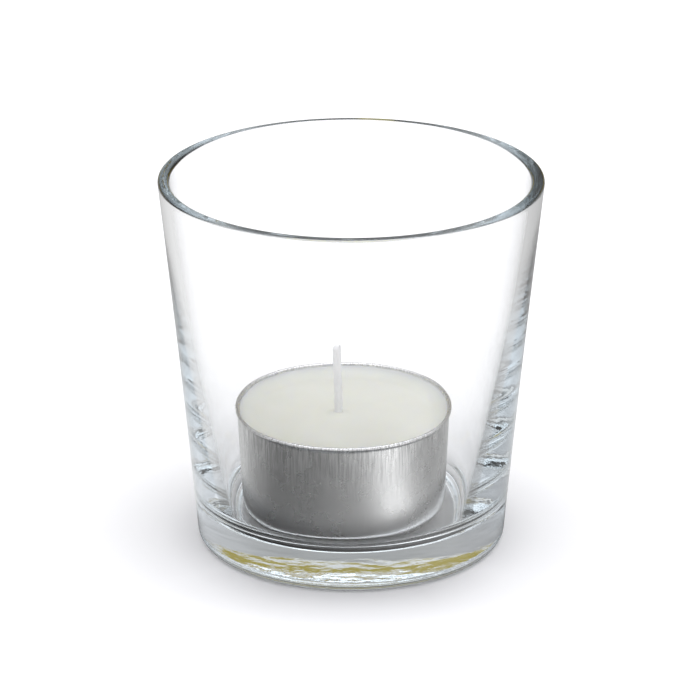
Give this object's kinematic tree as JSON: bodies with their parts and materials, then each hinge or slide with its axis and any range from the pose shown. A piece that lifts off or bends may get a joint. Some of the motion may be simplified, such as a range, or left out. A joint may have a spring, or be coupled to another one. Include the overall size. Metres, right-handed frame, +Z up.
{
  "type": "tealight holder",
  "caption": "Clear tapered glass tumbler with a thick base, holding a loose tealight: wax and a standing wick in a rolled-lip aluminium cup.",
  "frame": {"origin": "on the table at the glass's axis, which is the centre of the whole object's box at its lowest point", "axes": "+Z up along the glass's axis; +X to the right and +Y away from the viewer, with the tealight standing a little towards -X"},
  "size_m": [0.0668, 0.0668, 0.0666],
  "materials": {
    "clear_glass": "clear pressed soda-lime glass, fire-polished rim",
    "aluminium_sheet": "satin drawn sheet with fine vertical draw lines",
    "tinplate": "stamped tinplate",
    "wick_cotton": "waxed white cotton braid",
    "candle_wax": "smooth ivory paraffin wax, faintly translucent"
  },
  "bodies": {
    "glass": {"glass_cup": "clear_glass"},
    "tealight": {"tealight_cup": "aluminium_sheet"},
    "candle": {"wax": "candle_wax", "wick": "wick_cotton", "wick_sustainer": "tinplate"}
  },
  "joints": [
    {"name": "tealight_lift", "type": "slide", "parent": "glass", "child": "tealight", "axis": [0, 0, 1], "range_m": [0, 0.07]},
    {"name": "candle_lift", "type": "slide", "parent": "tealight", "child": "candle", "axis": [0, 0, 1], "range_m": [0, 0.025]}
  ]
}
